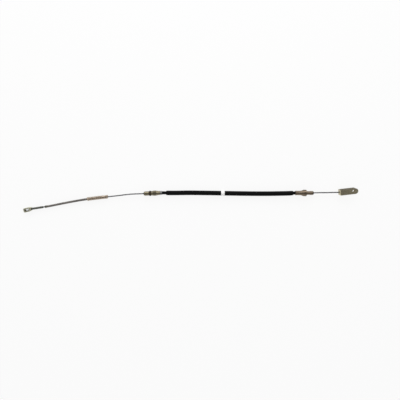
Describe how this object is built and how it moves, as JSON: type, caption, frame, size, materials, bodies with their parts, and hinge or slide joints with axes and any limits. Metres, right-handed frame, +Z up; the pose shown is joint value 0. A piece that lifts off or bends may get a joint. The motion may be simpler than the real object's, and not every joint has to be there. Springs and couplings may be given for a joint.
{
  "type": "parking brake cable",
  "caption": "Sheathed pull cable with a sliding inner wire: a looped eye with a guard and return spring at one end, a swivelling folded clevis at the other, and a collared casing end.",
  "frame": {"origin": "under the middle of the cable's box, on the surface that the cable lies on", "axes": "+X along the cable from the eye end to the clevis end, +Z up"},
  "size_m": [0.7666, 0.0572, 0.015],
  "materials": {
    "black_plastic": "satin black jacket",
    "white_plastic": "plain white",
    "yellow_zinc": "yellow-green passivated zinc",
    "olive_zinc": "olive passivated zinc",
    "plain_steel": "plain grey steel",
    "wire_steel": "stranded steel wire",
    "spring_steel": "brownish zinc-plated spring wire",
    "guard_grey": "warm grey plastic tube",
    "seal_rubber": "matt black rubber"
  },
  "bodies": {
    "casing": {"casing_conduit": "black_plastic", "casing_sheath": "black_plastic", "marker_sleeve": "white_plastic", "left_end_cap": "yellow_zinc", "left_seal_ring": "seal_rubber", "left_conduit_ferrule": "plain_steel", "left_wire_bush": "black_plastic", "right_end_cap": "olive_zinc", "right_wire_bush": "black_plastic"},
    "inner_cable": {"end_eye": "yellow_zinc", "stop_collar": "olive_zinc", "wire_guard": "guard_grey", "guard_end_ring": "olive_zinc", "return_spring": "spring_steel", "inner_wire": "wire_steel", "wire_button": "olive_zinc"},
    "clevis": {"clevis": "olive_zinc"}
  },
  "joints": [
    {"name": "wire_slide", "type": "slide", "parent": "casing", "child": "inner_cable", "axis": [0.9998, 0.0192, 0], "range_m": [0, 0.02]},
    {"name": "clevis_swivel", "type": "hinge", "parent": "inner_cable", "child": "clevis", "pos_m": [0.34352, 0.01837, 0.0075], "axis": [0.9932, 0.1167, 0], "continuous": true}
  ]
}
